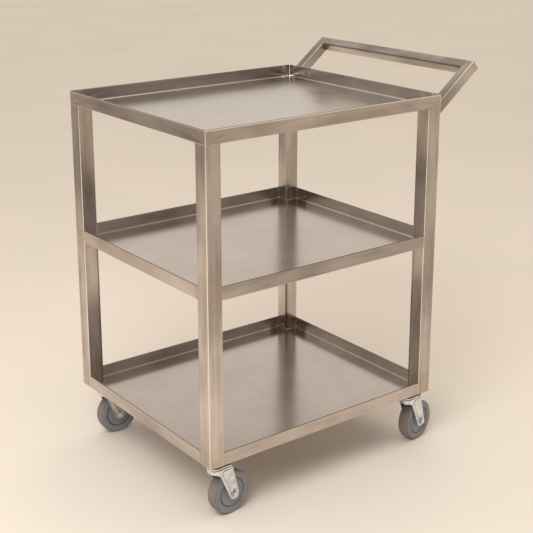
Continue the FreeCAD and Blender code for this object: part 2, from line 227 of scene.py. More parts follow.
# %% [markdown]
# The sky does most of the lighting. It is warm and fairly bright low down, brightest a little higher,
# where the tray floors mirror it, and dim above that. The side behind the trolley is the bright one, as
# in a room with windows on one side. Straight overhead the sky glows again: that lights the floor
# evenly and shows in none of the steel faces that the camera sees.
# %% Hang the sky
sky_low = (0.87, 0.81, 0.74)
sky_bright = (1.0, 0.94, 0.865)
sky_dim = (0.56, 0.51, 0.46)
low_up_to = 0.20  # this and the next four are sines of height angles
bright_at = 0.42
dim_from = 0.59
glow_from = 0.74
glow_full = 0.88
glow_gain = 2.1
bright_side = (0.606, 0.795, 0.0)
sky_mean = 0.63
sky_swing = 0.42

world = bpy.data.worlds.new("studio")
bpy.context.scene.world = world
world.use_nodes = True
sky_tree = world.node_tree
direction = add(sky_tree, "ShaderNodeTexCoord", output="Generated")
height = add(sky_tree, "ShaderNodeSeparateXYZ", {0: direction}, "Z")
ways = {0: direction, 1: bright_side}
facing = add(sky_tree, "ShaderNodeVectorMath", ways, "Value", operation="DOT_PRODUCT")
sky = ramp(height, (low_up_to, sky_low), (bright_at, sky_bright), (dim_from, sky_dim))
level = sky_swing * facing + sky_mean + glow_gain * fade(height, glow_from, glow_full)
plug(sky_tree.nodes["Background"], Color=sky, Strength=level)
print("sky nodes", len(sky_tree.nodes))

# %% [markdown]
# Two lamps help the sky. The key lamp is a large square high on the left: it lifts the left side and
# lays a soft shadow. The low lamp at the right reaches under the trays, where the sky can't.
# %% Set the lamps
def softbox(name, place, width, watts, aim):
    """A large square lamp that points at a place."""
    lamp = put_in_scene(name, bpy.data.lights.new(name, "AREA"))
    lamp.data.size = width
    lamp.data.energy = watts
    lamp.visible_camera = False
    lamp.location = place
    lamp.rotation_euler = (Vector(aim) - Vector(place)).to_track_quat("-Z", "Y").to_euler()


softbox("key_lamp", (-2.0, -1.2, 2.4), 1.5, 54, (-0.8, -0.1, 0.1))
softbox("fill_lamp", (3.0, -0.9, 0.9), 1.4, 10, (0, 0, 0.1))

# %% [markdown]
# Stainless sheet and tube are brushed with a belt, so every face carries fine lines that run one way.
# The lines could be a picture wrapped on the mesh. Noise stretched along the grain needs no picture
# and has no seams: a fine layer for the brush marks, a broad one for streaks, a cloudy one for polish.
# Where a joint was welded, the metal was ground again, so the lines are broken there and a trace of
# heat colour stays. The mesh carries that zone as a painted value, a painted highlight on its round
# edges as another, a painted shade along its lines as a third, and the angle round a corner, from
# which the grinder's strokes fan out.
# %% Brushed stainless steel
steel_dark = (0.43, 0.379, 0.337)
steel_light = (0.66, 0.602, 0.552)
steel_heat = (0.48, 0.385, 0.30)
# Near white, for painted highlights and for the grinder's bright strokes.
steel_highlight_and_bright_stroke = (0.98, 0.95, 0.91)
# Near black, for painted shade and for the grinder's dark strokes.
steel_shade_and_dark_stroke = (0.13, 0.105, 0.085)


def brushed_steel(name, grain_axis, roughness=0.23, tilt=0.0, clouds=0.5, contrast=1.0, inside="",
                  fanned=0.25, body=(steel_dark, steel_light)):
    """Satin brushed steel, its grain along one axis of the piece after a tilt about Y."""
    material, shader, coords = start_finish(name)
    coords = add(coords.tree, "ShaderNodeMapping", {"Vector": coords, "Rotation": (0.0, tilt, 0.0)})

    def grain(along, across, detail=2.0):
        scale = [across] * 3
        scale[grain_axis] = along
        return cloud(coords, scale, detail)

    fine = grain(9, 900)
    streak = grain(2, 130, 3.0)
    smear = grain(7, 26)
    polish = cloud(coords, 8)
    patch = cloud(coords, 38)
    weld = painted(coords, "weld")
    # The edge value places a painted highlight, and the value after it a painted shade.
    edge = painted(coords, "edge" + inside)
    soil = painted(coords, "soil" + inside)
    fan_angle = add(coords.tree, "ShaderNodeCombineXYZ", {"X": 5.0 * painted(coords, "fan")})
    strokes = fanned * painted(coords, "swept") * (cloud(fan_angle, 1) - 0.5)

    tone = 0.25 * streak + 0.25 * fine + (0.5 - 0.3 * clouds) * polish + 2.0 * strokes
    tone += 1.3 * clouds * (smear - 0.5) + 0.15 * clouds
    swing = 0.18 / contrast
    colour = ramp(tone, (0.5 - swing, body[0]), (0.5 + swing, body[1]))
    # Over the tone come heat colour, the grinder's strokes, the painted highlight and the painted shade.
    for share, over in (
        (0.75 * weld * patch, steel_heat),
        (4.5 * strokes, steel_highlight_and_bright_stroke),
        (-3.5 * strokes, steel_shade_and_dark_stroke),
        (edge, steel_highlight_and_bright_stroke),
        (soil, steel_shade_and_dark_stroke),
    ):
        colour = blend(share, colour, over)

    rough = 0.06 * streak + 0.06 * polish + 0.12 * clouds * smear + (roughness - 0.09)
    rough += weld * (0.18 * patch - 0.05) + 0.35 * strokes + -0.08 * edge
    lines = 3.0 * clouds * streak + fine + 9.0 * weld * patch
    plug(shader, Base_Color=colour, Roughness=rough, Normal=raised(lines, 0.014 * mm), Metallic=1.0)
    return material


handle_tilt = math.radians(38)
# The tray floors are the same sheet as the walls, given darker tones as painted shade.
floor_shaded_body = ((0.40, 0.348, 0.306), (0.615, 0.556, 0.506))
floor_look = {"roughness": 0.225, "clouds": 0.1, "contrast": 0.5, "body": floor_shaded_body}
inner_wall_look = {"roughness": 0.2, "inside": "_inside", "fanned": 1.5}
steel_x = brushed_steel("steel_grain_x", 0)
steel_y = brushed_steel("steel_grain_y", 1)
steel_z = brushed_steel("steel_grain_z", 2, contrast=1.3)
steel_arm = brushed_steel("steel_grain_arm", 0, tilt=handle_tilt, contrast=1.4)
steel_bar = brushed_steel("steel_grain_bar", 1, clouds=0.9, contrast=1.4)
steel_floor = brushed_steel("steel_tray_floor", 0, **floor_look)
steel_floor_inside = brushed_steel("steel_floor_inside", 0, inside="_inside", fanned=0.1, **floor_look)
steel_x_inside = brushed_steel("steel_grain_x_inside", 0, **inner_wall_look)
steel_y_inside = brushed_steel("steel_grain_y_inside", 1, **inner_wall_look)
steel_lower = brushed_steel("steel_mill_finish", 0, roughness=0.36)
print("nodes in one steel", len(steel_x.node_tree.nodes))

# %% [markdown]
# Every new piece goes through the same last steps: its mesh becomes an object, it takes its finish,
# it rides on a body of the frame, and the CAD nodes it stands for are hidden. Flat faces next to small
# round edges would shade like pillows, so a weighted normal modifier lets the large faces win.
# %% From mesh to piece
def settle(name, bm, finishes, body, stands_for=(), place=None):
    """Turn a bmesh into a smooth piece at its place and seat it in the frame."""
    if place is not None:
        bmesh.ops.transform(bm, matrix=place, verts=bm.verts)
    mesh = bpy.data.meshes.new(name)
    bm.to_mesh(mesh)
    bm.free()
    mesh.shade_smooth()
    for finish in finishes:
        mesh.materials.append(finish)
    piece = put_in_scene(name, mesh)
    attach(piece, body)
    if stands_for:
        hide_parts(*stands_for)
    return piece


def finish_edges(piece, thickness=0.0, rounding=0.0, steps=2, inside_finish=0):
    """Give a sheet its thickness, round its cut edges and keep its flat faces flat."""
    if thickness:
        solid = piece.modifiers.new("sheet", "SOLIDIFY")
        solid.material_offset = inside_finish
        solid.thickness = thickness
        solid.offset = -1.0
        solid.use_even_offset = True
    if rounding:
        bevel = piece.modifiers.new("rounding", "BEVEL")
        bevel.width = rounding
        bevel.segments = steps
        bevel.limit_method = "ANGLE"
        bevel.angle_limit = math.radians(50)
    piece.modifiers.new("flat_faces", "WEIGHTED_NORMAL").keep_sharp = True


def paint(bm, highest=1.0, **layers):
    """Store values on each vertex, worked out from its place."""
    for name, value_at in layers.items():
        layer = bm.verts.layers.float.get(name) or bm.verts.layers.float.new(name)
        for vert in bm.verts:
            vert[layer] = min(highest, max(0.0, value_at(vert.co)))


def face_out(bm):
    """Turn all faces the same way round."""
    bmesh.ops.recalc_face_normals(bm, faces=bm.faces)


def ease(value):
    """A smooth step from 0 to 1."""
    value = min(1.0, max(0.0, value))
    return value * value * (3 - 2 * value)


def spread(first, last, count):
    """Evenly spaced values from first to last, both included."""
    return [first + (last - first) * step / count for step in range(count + 1)]


def loft(bm, rings, closed=True):
    """Join rings of vertices into faces."""
    count = len(rings[0])
    for ring, following in zip(rings, rings[1:]):
        for index in range(count if closed else count - 1):
            after = (index + 1) % count
            bm.faces.new([ring[index], ring[after], following[after], following[index]])


print("a quarter of the way along a smooth step is", ease(0.25))

# %% [markdown]
# A tray is one sheet, folded up on four sides. A thickened box would show dead sharp corners, so the
# outer skin is drawn as a grid: the floor, then rows that follow the bend, then the wall. The floor of
# a real tray is never quite flat, and that is what makes reflections wander, so it gets a wave of a
# fifth of a millimetre. The two lower trays have their corners cut out round the legs.
# %% Sizes of the folded trays
sheet = 1.5 * mm
outer_bend = 2.1 * mm
leg_side = 38 * mm
bend_steps = 5
fold_steps = 5
floor_cells = (34, 28)
corner_cells = 7
floor_wave = 0.2 * mm
wave_margin = 60 * mm
fold_lines = (0.8 * mm, 3.0 * mm)  # floor lines beside the fold
fold_rows = (1.5 * mm, 1.9 * mm)  # wall rows above the fold
rim_rows = (3.2 * mm, 2.9 * mm, 1.0 * mm, 0.7 * mm, 0.0)  # wall rows below the rim


def tray_floor_lines(low, high, cells):
    """Grid lines of the floor between the bends, close together beside the legs."""
    near = [outer_bend] + [outer_bend + gap for gap in fold_lines]
    near += spread(near[-1], leg_side, corner_cells - len(fold_lines))[1:-1]
    middle = spread(low + leg_side, high - leg_side, cells)
    return [low + reach for reach in near] + middle + [high - reach for reach in reversed(near)]


def tray_section(low_z, high_z):
    """The folded edge from the floor outwards and up, as (reach, height) points."""
    section = []
    for angle in spread(0, math.pi / 2, bend_steps)[1:]:
        section.append((outer_bend * math.sin(angle), low_z + outer_bend * (1 - math.cos(angle))))
    heights = [low_z + outer_bend + row for row in fold_rows]
    heights += spread(heights[-1], high_z - rim_rows[0], 3)[1:] + [high_z - row for row in rim_rows[1:]]
    return section + [(outer_bend, z) for z in heights]


print("points in a tray's section", len(tray_section(0, leg_side)))

# %% [markdown]
# The skin is drawn line by line. Each line starts at the floor, follows the bend and climbs the wall,
# and two neighbouring lines make a strip of faces. At a closed corner the lines fan out from one point
# of the floor, so the two walls meet in a round edge as folded and ground sheet does.
# %% Draw the skin of a tray
def tray_floor(bm, low, high, notched):
    """The floor's grid of vertices, without the corners where legs stand."""
    xs = tray_floor_lines(low.x, high.x, floor_cells[0])
    ys = tray_floor_lines(low.y, high.y, floor_cells[1])
    last_x = len(xs) - 1
    last_y = len(ys) - 1
    grid = {}
    for i, x in enumerate(xs):
        for j, y in enumerate(ys):
            beside_x = i < corner_cells or i > last_x - corner_cells
            beside_y = j < corner_cells or j > last_y - corner_cells
            if not (notched and beside_x and beside_y):
                inside = ease(min(x - xs[0], xs[-1] - x, y - ys[0], ys[-1] - y) / wave_margin)
                wave = inside * floor_wave * (1 + noise.noise(Vector((x * 5, y * 5, low.z * 9))))
                grid[i, j] = bm.verts.new((x, y, low.z + wave))
    for i, j in list(grid):
        keys = [(i, j), (i, j + 1), (i + 1, j + 1), (i + 1, j)]
        if all(key in grid for key in keys):
            bm.faces.new([grid[key] for key in keys])
    return grid, last_x, last_y


def tray_skin(low, high, notched):
    """The outer skin of a tray as a bmesh, its normals facing out."""
    bm = bmesh.new()
    grid, last_x, last_y = tray_floor(bm, low, high, notched)
    section = tray_section(low.z, high.z)
    columns = {}

    def column(key, side_x, side_y):
        """The vertices of one line from the floor, over the bend and up the wall."""
        if (key, side_x, side_y) not in columns:
            base = grid[key].co
            spots = [(base.x + side_x * reach, base.y + side_y * reach, z) for reach, z in section]
            columns[key, side_x, side_y] = [grid[key]] + [bm.verts.new(spot) for spot in spots]
        return columns[key, side_x, side_y]

    def wall(lines, grain):
        """Join the lines of one wall, or of the bend between two walls."""
        made = [column(*line) for line in lines]
        for near, far in zip(made, made[1:]):
            for row in range(len(section)):
                ring = [near[row], near[row + 1], far[row + 1], far[row]]
                face = bm.faces.new(ring[:3] if row == 0 and near[0] == far[0] else ring)
                face.material_index = grain

    start = corner_cells if notched else 0
    along_x = range(start, last_x - start + 1)
    along_y = range(start, last_y - start + 1)
    wall([((i, 0), 0, -1) for i in along_x], 1)
    wall([((i, last_y), 0, 1) for i in along_x], 1)
    wall([((0, j), -1, 0) for j in along_y], 2)
    wall([((last_x, j), 1, 0) for j in along_y], 2)
    for key in [] if notched else [(0, 0), (0, last_y), (last_x, 0), (last_x, last_y)]:
        side_x = 1 if key[0] else -1
        side_y = 1 if key[1] else -1
        turns = spread(0, math.pi / 2, fold_steps)[:-1]
        bend = [(key, side_x * math.sin(turn), side_y * math.cos(turn)) for turn in turns]
        wall(bend + [(key, side_x, 0)], 1)
    face_out(bm)
    middle = min(bm.faces, key=lambda face: face.calc_center_median().xy.length)
    if middle.normal.z > 0:
        bmesh.ops.reverse_faces(bm, faces=bm.faces)
    return bm


print("lines across a tray's floor", [len(tray_floor_lines(0, 1, cells)) for cells in floor_cells])

# %% [markdown]
# Paint makes the tray look worked. The zone round each corner was heated and ground. The rim, the
# bends and the outer corners carry a painted highlight, and a painted shade lies as a dark line under
# the rim, beside the fold and beside the corner seams. Each is a rule on where a vertex lies, kept in
# a layer that the steel reads.
# %% Fold the three trays
weld_reach = 46 * mm
notch_weld_reach = 16 * mm
swept_reach = 85 * mm
swept_start = 20 * mm
fan_centre = 6 * mm


def fold_tray(name, notched):
    """One tray: its skin, the painted zones, and the sheet's thickness."""
    low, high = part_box(name)
    bm = tray_skin(low, high, notched)
    inset = leg_side if notched else 0.0
    # How bright the painted highlight under the rim is, and how deep the painted shade above it reaches.
    rim_highlight = 0.35 if notched else 1.0
    rim_shade_depth = rim_rows[2] if notched else rim_rows[3]
    fold_top = low.z + outer_bend + fold_rows[0] + hair

    def from_corner(point):
        gap_x = min(point.x - low.x, high.x - point.x) - inset
        gap_y = min(point.y - low.y, high.y - point.y) - inset
        return gap_x, gap_y

    def from_fold(point):
        return min(from_corner(point)) + inset - outer_bend

    def below_rim(point, first, last):
        return first - hair < high.z - point.z < last + hair

    def weld_at(point):
        gap = Vector([max(0.0, gap) for gap in from_corner(point)]).length
        return 1 - gap / (notch_weld_reach if notched else weld_reach)

    def swept_at(point):
        gap = max(from_corner(point))
        band = ease((gap - outer_bend) / swept_start) * ease(1.25 * (1 - gap / swept_reach))
        return 0.0 if notched else band

    def fan_at(point):
        gap_x, gap_y = from_corner(point)
        climb = point.z - low.z - outer_bend
        if climb > 0:
            return (2.0 if gap_x < gap_y else 4.6) + math.atan2(climb, max(gap_x, gap_y) + fan_centre)
        return 1 + math.atan2(gap_y, gap_x + mm)

    # Painted highlights: a band under the rim, a faint one on the outer bend, one on the outer corners.
    def highlight_at(point):
        on_bend = hair < point.z - low.z < outer_bend - hair
        on_corner = not notched and max(from_corner(point)) < outer_bend - hair
        return max(rim_highlight * below_rim(point, rim_rows[2], rim_rows[1]), 0.3 * on_bend, 0.6 * on_corner)

    def highlight_inside_at(point):
        on_fold = from_fold(point) < hair and point.z < fold_top
        return max(on_fold, 0.7 * rim_highlight * below_rim(point, 0.0, rim_rows[2]))

    # Painted shade inside: a dark line beside the fold and beside each corner seam.
    def shade_inside_at(point):
        beside_fold = abs(from_fold(point) - fold_lines[0]) < hair and point.z < low.z + mm
        gap_x, gap_y = from_corner(point)
        seam_gap = gap_x - outer_bend if gap_y < hair and not notched else math.inf
        beside_seam = 0.95 * (seam_gap < fold_lines[0] + hair) + 0.35 * (abs(seam_gap - fold_lines[1]) < hair)
        return max(0.8 * beside_fold, beside_seam)

    paint(bm, weld=weld_at, swept=swept_at, edge=highlight_at, edge_inside=highlight_inside_at)
    # Painted shade as a dark band along the top of the outer wall.
    paint(bm, soil=lambda point: 0.8 * below_rim(point, 0.0, rim_shade_depth), soil_inside=shade_inside_at)
    paint(bm, highest=8.0, fan=fan_at)
    finishes = [steel_floor, steel_x, steel_y, steel_floor_inside, steel_x_inside, steel_y_inside]
    piece = settle(name + "_folded", bm, finishes, "frame", [name])
    finish_edges(piece, thickness=sheet, rounding=0.35 * mm, inside_finish=3)
    return piece


for tray, notched in (("top_tray", False), ("middle_tray", True), ("bottom_tray", True)):
    folded = fold_tray(tray, notched)
    print(folded.name, len(folded.data.polygons), "faces before thickness")

# %% [markdown]
# Legs and handle are square tube. Drawn steel tube has round corners and faces that sink a hair in
# the middle, which gives a tube a soft shade across its face and a bright line down each edge, and a
# painted highlight on each round corner makes that line brighter.
# A tube is made as rings of points joined into faces, so rings can be packed where a weld needs them.
# %% Rings for square tube
tube_wall = 1.5 * mm
tube_corner = 1.6 * mm
tube_sink = 0.12 * mm
corner_steps = 4
face_steps = 6


def tube_ring(side, corner, sink=0.0):
    """The outline of a square tube, with a mark from 0 to 1 for how far a point is round a corner, which sets
    a painted highlight.
    """
    points = []
    marks = []
    half = side / 2
    for quarter in range(4):
        turn = Matrix.Rotation(quarter * math.pi / 2, 2)
        for angle in spread(0, math.pi / 2, corner_steps):
            arc = Vector((math.cos(angle), math.sin(angle))) * corner
            points.append(turn @ (arc + Vector((half - corner, half - corner))))
            marks.append(math.sin(2 * angle) ** 2)
        for share in spread(0, 1, face_steps)[1:-1]:
            across = (half - corner) * (1 - 2 * share)
            points.append(turn @ Vector((across, half - sink * math.sin(math.pi * share))))
            marks.append(0.0)
    return points, marks


def square_tube(side, stations, place_at):
    """A hollow tube through rings at the stations, each put in place by a function."""
    bm = bmesh.new()
    highlight_layer = bm.verts.layers.float.new("edge")
    outline, marks = tube_ring(side, tube_corner, tube_sink)
    rings = []
    for station in stations:
        rings.append([bm.verts.new(place_at(point, station)) for point in outline])
        # The corner mark becomes a painted highlight.
        for vert, mark in zip(rings[-1], marks):
            vert[highlight_layer] = mark
    inner, _ = tube_ring(side - 2 * tube_wall, tube_corner / 2)
    first_bore = [bm.verts.new(place_at(point, stations[0])) for point in inner]
    last_bore = [bm.verts.new(place_at(point, stations[-1])) for point in inner]
    loft(bm, [first_bore] + rings + [last_bore, first_bore])
    face_out(bm)
    return bm


print("points round a tube", len(tube_ring(leg_side, tube_corner)[0]))

# %% [markdown]
# The four legs run from the foot of the frame to the underside of the top tray. Where a tray meets a
# leg the weld was ground flush, which leaves the face a little uneven. Here those zones get closer
# rings, a shallow dent of a tenth of a millimetre from noise, and the painted weld value. Below the
# middle tray the leg's inner edge carries a painted shade.
# %% Stand the four legs
weld_dent = 0.14 * mm
weld_zone = 14 * mm
joint_heights = []
for tray in ("top_tray", "middle_tray", "bottom_tray"):
    low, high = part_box(tray)
    joint_heights.append((low.z, high.z))


def corner_frame(node, corner):
    """A place at the outer corner of a node's box, its X and Y pointing in along the trays' walls."""
    low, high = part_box(node)
    in_x = 1 if "left" in corner else -1
    in_y = 1 if "front" in corner else -1
    outer = Vector((low.x if in_x > 0 else high.x, low.y if in_y > 0 else high.y, 0))
    return Matrix.Translation(outer) @ Matrix.Diagonal((in_x, in_y, 1, 1))


def near_joint(z, reach):
    """1 beside a tray wall, falling to 0 beyond the reach."""
    gap = min(max(low - z, z - high, 0.0) for low, high in joint_heights)
    return ease(1 - gap / reach)


def leg_stations(low, high):
    """Heights of the rings: a dozen steps in all, and a step of about 4 mm near a joint."""
    heights = set(spread(low, high, 12))
    for foot, rim in joint_heights:
        heights.update(z for z in spread(foot - weld_zone, rim + weld_zone, 14) if low < z < high)
    return sorted(heights)


def stand_leg(corner):
    """One leg, standing where its CAD node stands."""
    low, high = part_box("leg_" + corner)
    middle = (low + high) / 2
    inner_edge = corner_frame("leg_" + corner, corner) @ Vector((leg_side, leg_side, 0))

    def place_at(point, z):
        spot = Vector((point.x, point.y, z))
        dent = weld_dent * near_joint(z, weld_zone) * abs(noise.noise(spot * 90 + middle * 31))
        shrink = 1 - dent / (leg_side / 2)
        return Vector((middle.x + point.x * shrink, middle.y + point.y * shrink, z))

    # Painted shade on the inner edge below the middle tray.
    def shade_at(point):
        gap = max(abs(point.x - inner_edge.x), abs(point.y - inner_edge.y))
        return 0.8 * (gap < tube_corner + hair and point.z < joint_heights[1][0])

    bm = square_tube(leg_side, leg_stations(low.z, high.z), place_at)
    paint(bm, weld=lambda point: near_joint(point.z, 3 * weld_zone), soil=shade_at)
    piece = settle("leg_tube_" + corner, bm, [steel_z], "frame", ["leg_" + corner])
    finish_edges(piece, rounding=0.2 * mm)
    return piece


for corner in corners:
    leg = stand_leg(corner)
print("legs", len(corners), "faces each", len(leg.data.polygons))

# %% [markdown]
# The handle is a U of smaller tube, mitred at its two corners and cut to the end wall. Each tube is
# drawn lying along its own X axis and then tilted as a whole. Slanted ends come from shifting the
# last ring point by point on to the plane of the cut. The inner faces, and the lower faces of the
# arms, carry a little painted shade. More of it lies at the arms' feet and in the line under the top
# of the bar.
# %% Bend the push handle
handle_side = 25 * mm
half_tube = handle_side / 2
arm_length = 142 * mm
handle_drop = 20 * mm
handle_inset = 4 * mm
handle_weld_reach = 22 * mm
grip_shade = 0.14
seam_shade = 0.85
foot_shade = 0.34
foot_shade_reach = 125 * mm
ring_shares = [0, 0.03, 0.07, 0.12, 0.25, 0.5, 0.75, 0.88, 0.93, 0.97, 1]

deck_low, deck_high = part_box("top_tray")
handle_foot = Vector((deck_high.x, 0, deck_high.z - handle_drop))
handle_plane = Matrix.Translation(handle_foot) @ Matrix.Rotation(-handle_tilt, 4, "Y")
bar_half = deck_high.y - handle_inset


def handle_tube(end, ends_at, place, finish, node, grip_side, dark_seam=False):
    """A handle tube along X, its ends cut by a function of the place across it."""
    def place_at(point, share):
        first, last = ends_at(point)
        return Vector((first + (last - first) * share, point.x, point.y))

    def weld_at(point):
        first, last = ends_at(point.yz)
        return 1 - min(point.x - first, last - point.x) / handle_weld_reach

    # Painted shade on the inner and lower faces, at the arms' feet and under the top of the bar.
    def shade_at(point):
        inner = point.y * grip_side > half_tube - tube_corner
        if dark_seam:
            return seam_shade if inner and point.z > half_tube - tube_corner else grip_shade * inner
        lower = point.z < tube_corner - half_tube
        return max(grip_shade * (inner or lower), foot_shade * ease(1 - point.x / foot_shade_reach))

    bm = square_tube(handle_side, ring_shares, place_at)
    paint(bm, weld=weld_at, soil=shade_at)
    piece = settle("handle_tube_" + end, bm, [finish], "frame", [node], handle_plane @ place)
    finish_edges(piece, rounding=0.15 * mm)


def bar_ends(point):
    inward = half_tube - point.x
    return -bar_half + handle_side - inward, bar_half - handle_side + inward


for side, end in ((-1, "front"), (1, "back")):
    def arm_ends(point):
        return (point.y - half_tube) * math.tan(handle_tilt), arm_length - half_tube + side * point.x

    arm_place = Matrix.Translation((0, side * (bar_half - half_tube), -half_tube))
    handle_tube(end, arm_ends, arm_place, steel_arm, "handle_arm_" + end, -side)
bar_place = Matrix.Translation((arm_length - half_tube, 0, -half_tube)) @ Matrix.Rotation(math.pi / 2, 4, "Z")
handle_tube("bar", bar_ends, bar_place, steel_bar, "handle_bar", 1, dark_seam=True)

# %% [markdown]
# Stainless sheet is joined by a thin bead of melted wire. A clean bead is a row of overlapping ripples,
# each a little frozen pool, so it is drawn as a thin tube whose radius swells once per ripple, half
# sunk in the metal. Beads sit where sheet meets sheet: in the folded corners of the top tray, round
# the handle's feet, under the trays against the legs, and round the plates that carry the castors.
# %% Lay weld beads
ripple_pitch = 2.6 * mm
bead_step = 0.65 * mm
bead_sides = 8
ripple_swell = 0.13
uneven_swell = 0.12
bead_end = 0.3
round_steps = 6


def resample(path, closed):
    """Points at even steps along a path of straight pieces."""
    ends = zip(path, path[1:] + path[:1]) if closed else zip(path, path[1:])
    points = []
    for first, second in ends:
        count = max(1, round((second - first).length / bead_step))
        points += [first.lerp(second, step / count) for step in range(count)]
    return points if closed else points + [path[-1]]


def lay_bead(bm, path, radius, facing, place, closed=False):
    """Add one rippled bead along a path. The path and the way the bead faces are seen from a place."""
    points = resample([place @ Vector(point) for point in path], closed)
    facing = place.to_3x3() @ Vector(facing)
    last = len(points) - 1
    rings = []
    for index, point in enumerate(points):
        before = points[index - 1] if closed or index else point
        after = points[(index + 1) % len(points)] if closed or index < last else point
        along = (after - before).normalized()
        up = (facing - along * facing.dot(along)).normalized()
        side = along.cross(up)
        ripple = math.sin(2 * math.pi * index * bead_step / ripple_pitch)
        swell = radius * (1 + ripple_swell * ripple + uneven_swell * noise.noise(point * 300))
        if not closed and index in (0, last):
            swell *= bead_end
        turns = spread(0, 2 * math.pi, bead_sides)[:-1]
        ways = [up * math.cos(turn) + side * math.sin(turn) for turn in turns]
        rings.append([bm.verts.new(point + way * swell) for way in ways])
    loft(bm, rings + rings[:1] if closed else rings)
    if not closed:
        bm.faces.new(rings[0])
        bm.faces.new(rings[-1])


def settle_beads(name, bm, finish, polish=0.0):
    """Make one piece of a set of beads. It adds to the frame and replaces nothing."""
    face_out(bm)
    # The polish value is laid on as a painted highlight and takes the place of the heat colour.
    paint(bm, weld=lambda point: 1.0 - polish, edge=lambda point: polish)
    settle(name, bm, [finish], "frame")


def rounded_loop(half_x, half_y, radius):
    """A rounded rectangle about the origin, in the XY plane."""
    points = []
    for quarter, (sign_x, sign_y) in enumerate(((1, 1), (-1, 1), (-1, -1), (1, -1))):
        centre = Vector((sign_x * (half_x - radius), sign_y * (half_y - radius), 0))
        for angle in spread(quarter * math.pi / 2, (quarter + 1) * math.pi / 2, round_steps):
            points.append(centre + Vector((math.cos(angle), math.sin(angle), 0)) * radius)
    return points


print("ripples in 10 mm of bead", round(10 * mm / ripple_pitch, 1))

# %% [markdown]
# The top tray's corners were closed from the inside and polished, and a painted highlight makes the
# bead in each bright. The handle's arms are cut to their slant and welded to the end wall all round.
# A bead is described from the place where it sits, and so one description serves all four corners.
# %% Weld the tray corners and the handle's feet
seam_radius = 1.3 * mm
foot_radius = 1.5 * mm
foot_corner = 2.4 * mm
seam_inset = sheet + 0.2 * mm
seam_foot = deck_low.z + sheet + 0.5 * mm
seam_top = deck_high.z - 0.6 * mm
tray_seams = bmesh.new()
for corner in corners:
    seam = [(seam_inset, seam_inset, seam_foot), (seam_inset, seam_inset, seam_top)]
    lay_bead(tray_seams, seam, seam_radius, (1, 1, 0), corner_frame("top_tray", corner))
settle_beads("top_tray_corner_seams", tray_seams, steel_z, polish=1.0)

foot_height = handle_side / math.cos(handle_tilt)
foot_middle = deck_high.z - handle_drop - foot_height / 2
facing_end = Matrix(((0, 0, 1, 0), (1, 0, 0, 0), (0, 1, 0, 0), (0, 0, 0, 1)))  # turns X, Y, Z to Y, Z, X
handle_welds = bmesh.new()
for side in (-1, 1):
    centre = Vector((deck_high.x + 0.2 * mm, side * (bar_half - half_tube), foot_middle))
    foot_loop = rounded_loop(half_tube, foot_height / 2, foot_corner)
    foot_place = Matrix.Translation(centre) @ facing_end
    lay_bead(handle_welds, foot_loop, foot_radius, (0, 0, 1), foot_place, closed=True)
settle_beads("handle_foot_welds", handle_welds, steel_y)
print("handle foot is", round(foot_height / mm, 1), "mm tall on the end wall")

# %% [markdown]
# The two lower trays are notched round the legs. A thin polished bead with a painted highlight closes
# each notch on the inside, up the wall and across the floor. A thicker one, left as it was welded,
# holds the top and the middle tray from below, where a hand or an eye seldom gets.
# %% Weld the legs to the trays
fillet_radius = 1.7 * mm
fillet_start = 3 * mm
thin_radius = 0.8 * mm
leg_welds = bmesh.new()
thin_welds = bmesh.new()
for corner in corners:
    place = corner_frame("leg_" + corner, corner)
    for foot, rim in joint_heights[1:]:
        rim_z = rim - mm
        floor_z = foot + sheet + 0.1 * mm
        across = [(sheet, leg_side, floor_z), (leg_side, leg_side, floor_z), (leg_side, sheet, floor_z)]
        lay_bead(thin_welds, [(sheet, leg_side, rim_z), across[0]], thin_radius, (1, 1, 0), place)
        lay_bead(thin_welds, [(leg_side, sheet, rim_z), across[2]], thin_radius, (1, 1, 0), place)
        lay_bead(thin_welds, across, thin_radius, (1, 1, 1), place)
    for foot, rim in joint_heights[:2]:
        below = [(fillet_start, leg_side, foot), (leg_side, leg_side, foot), (leg_side, fillet_start, foot)]
        lay_bead(leg_welds, below, fillet_radius, (1, 1, -1), place)
settle_beads("leg_fillet_welds", leg_welds, steel_lower)
settle_beads("leg_seam_welds", thin_welds, steel_z, polish=0.7)
print("leg welds above and below", 3 * 2 * len(corners), 2 * len(corners))

# %% [markdown]
# The top tray folds down on to the leg tops, and its round bend leaves a groove above each leg. The
# maker fills that groove with weld and grinds it flush, so the leg seems to grow out of the tray.
# The filling is drawn as a thin strip that wraps the two outer faces of the leg, the same height as
# the groove, with the ground steel finish.
# %% Fill the groove at the leg tops
leg_top_z = joint_heights[0][0]
fill_above = leg_top_z + 2.3 * mm
fill_edge = leg_top_z + 0.8 * mm
fill_below = leg_top_z - 0.8 * mm
fill_depth = 1.2 * mm
fill_sink = 0.03 * mm
run_steps = 8
strip_rows = ((fill_depth, fill_above), (fill_sink, fill_above), (fill_sink, fill_edge),
              (fill_sink, fill_below), (fill_depth, fill_below))


def wrap_corner(inset):
    """Points round the two outer faces of a leg, seen from its outer corner, with an arc between."""
    turn = max(tube_corner - inset, 0.1 * mm)
    centre = inset + turn
    run = (leg_side - tube_corner - inset) / run_steps
    points = [(centre + run * step, inset) for step in range(run_steps, 0, -1)]
    for angle in spread(0, math.pi / 2, round_steps):
        points.append((centre - turn * math.sin(angle), centre - turn * math.cos(angle)))
    return points + [(inset, centre + run * step) for step in range(1, run_steps + 1)]


